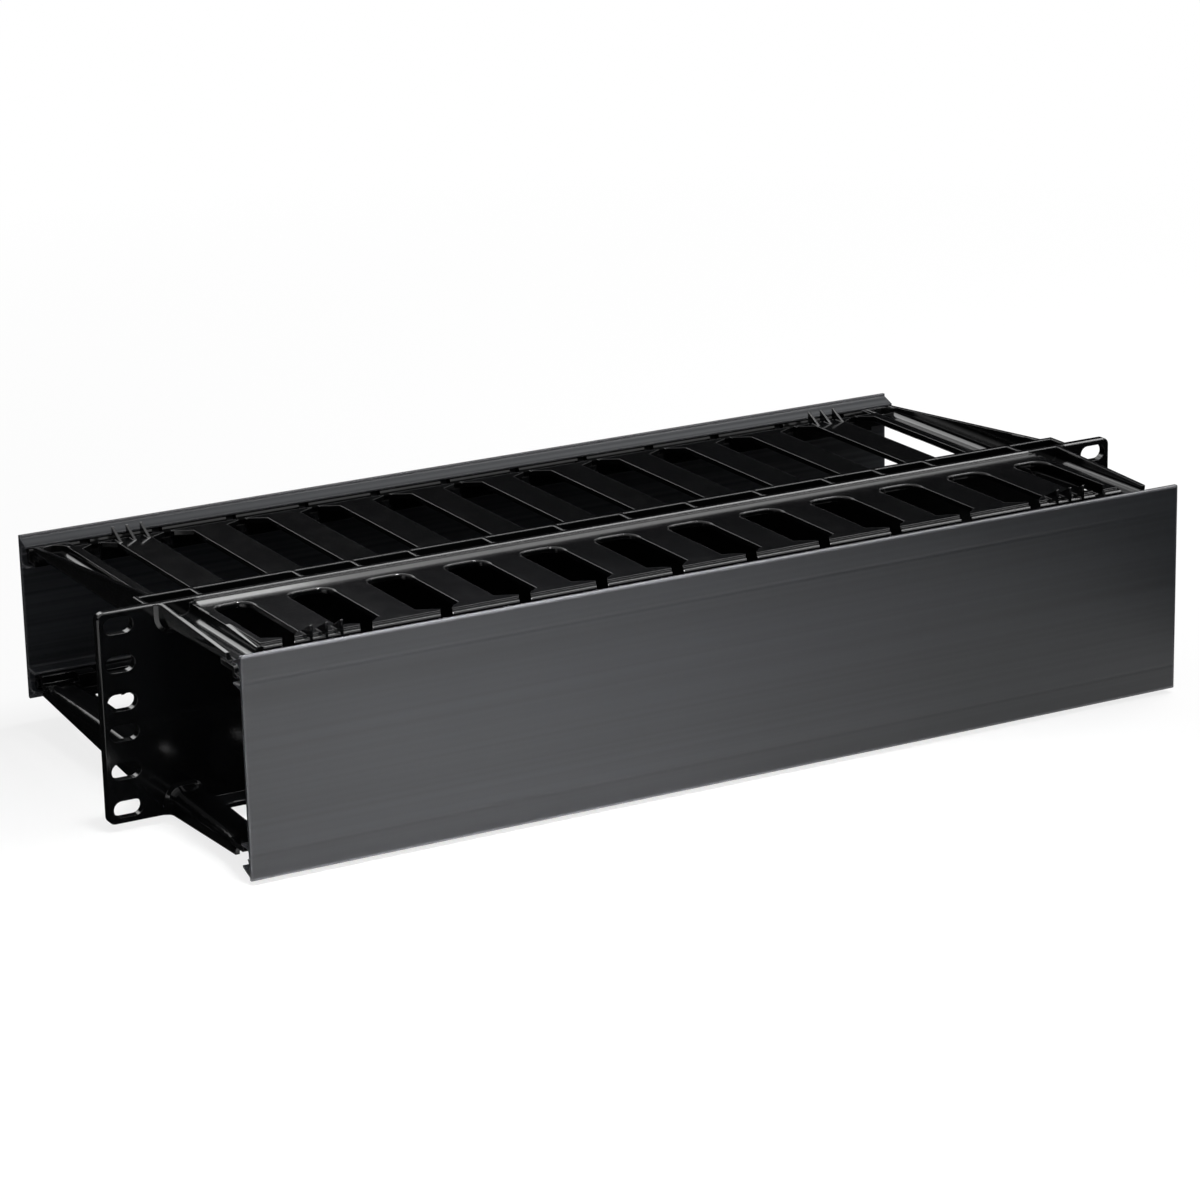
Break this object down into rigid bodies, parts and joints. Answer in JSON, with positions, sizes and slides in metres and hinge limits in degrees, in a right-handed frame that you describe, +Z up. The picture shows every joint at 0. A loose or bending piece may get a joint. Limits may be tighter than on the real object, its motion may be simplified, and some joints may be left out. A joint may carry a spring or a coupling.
{
  "type": "horizontal cable manager",
  "caption": "Rack panel with slotted ears, open finger channels in front and behind, and a hinged cover on each.",
  "frame": {"origin": "centre of the rack panel's front face", "axes": "+X to the right seen from the front, +Y to the back of the rack, +Z up"},
  "size_m": [0.4826, 0.2315, 0.0944],
  "materials": {
    "panel_plastic": "gloss moulded black",
    "frame_plastic": "gloss moulded black",
    "cover_plastic": "satin extruded black",
    "screw_steel": "zinc plated"
  },
  "bodies": {
    "base": {"rack_panel": "panel_plastic", "rear_frame": "frame_plastic", "joining_screws": "screw_steel"},
    "front_cover": {"front_cover": "cover_plastic"},
    "rear_cover": {"rear_cover": "cover_plastic"}
  },
  "joints": [
    {"name": "front_cover_hinge", "type": "hinge", "parent": "base", "child": "front_cover", "pos_m": [0, -0.0792, 0.0389], "axis": [-1, 0, 0], "range_deg": [0, 90]},
    {"name": "rear_cover_hinge", "type": "hinge", "parent": "base", "child": "rear_cover", "pos_m": [0, 0.1437, 0.02995], "axis": [1, 0, 0], "range_deg": [0, 90]}
  ]
}
